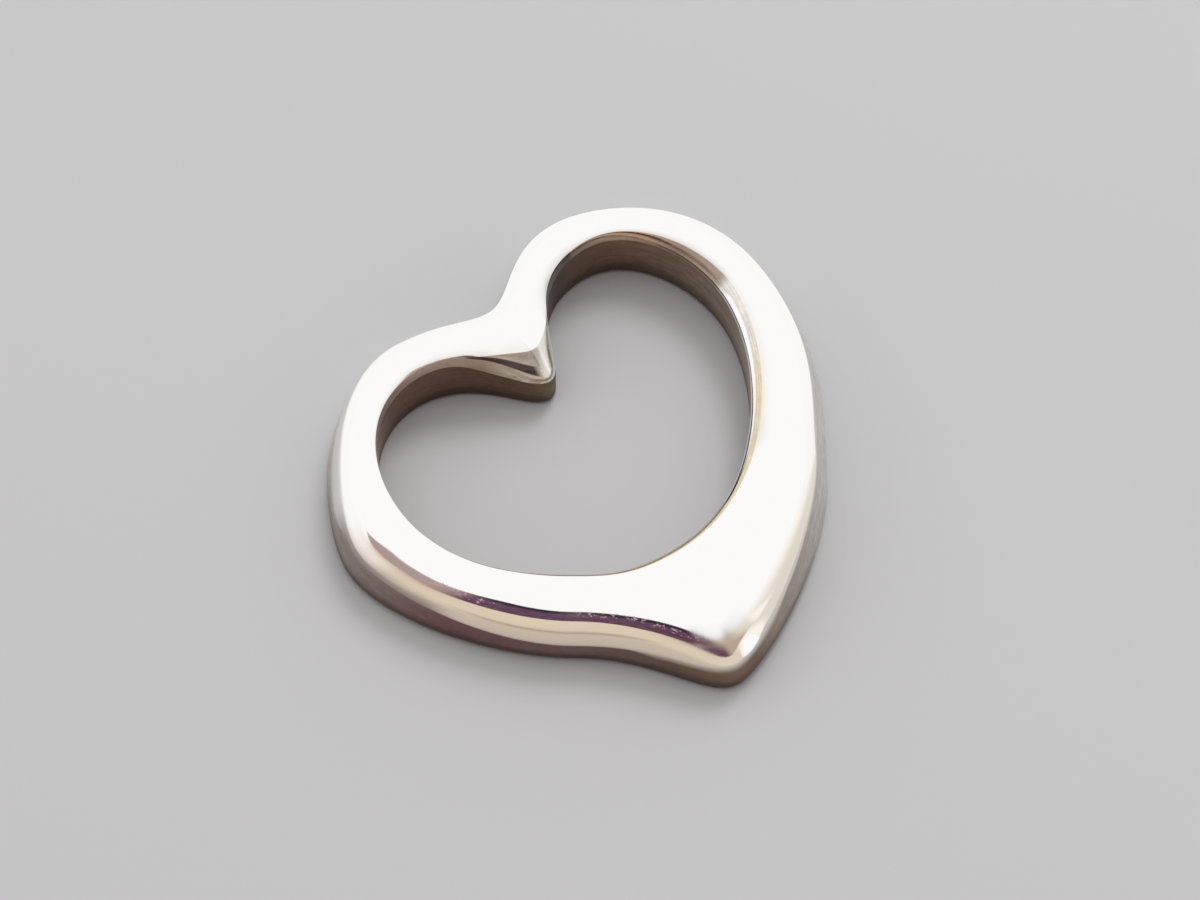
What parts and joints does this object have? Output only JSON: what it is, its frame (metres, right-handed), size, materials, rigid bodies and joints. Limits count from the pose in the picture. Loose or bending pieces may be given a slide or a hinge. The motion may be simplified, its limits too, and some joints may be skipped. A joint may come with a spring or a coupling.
{
  "type": "heart pendant",
  "caption": "Open heart pendant in polished silver: a domed, flat-backed band that widens at cusp and tip and slides on a chain passed through its centre.",
  "frame": {"origin": "middle of the overall width and height, on the flat back", "axes": "+Z out of the domed face, +Y from the tip towards the notch, +X towards the larger lobe"},
  "size_m": [0.022, 0.0226, 0.0027],
  "materials": {
    "polished_silver": "hand-polished sterling silver, faintly warm, with fine wear scratches on the dome and a darker, greyer inner wall"
  },
  "bodies": {
    "root": {"open_heart": "polished_silver"}
  },
  "joints": []
}
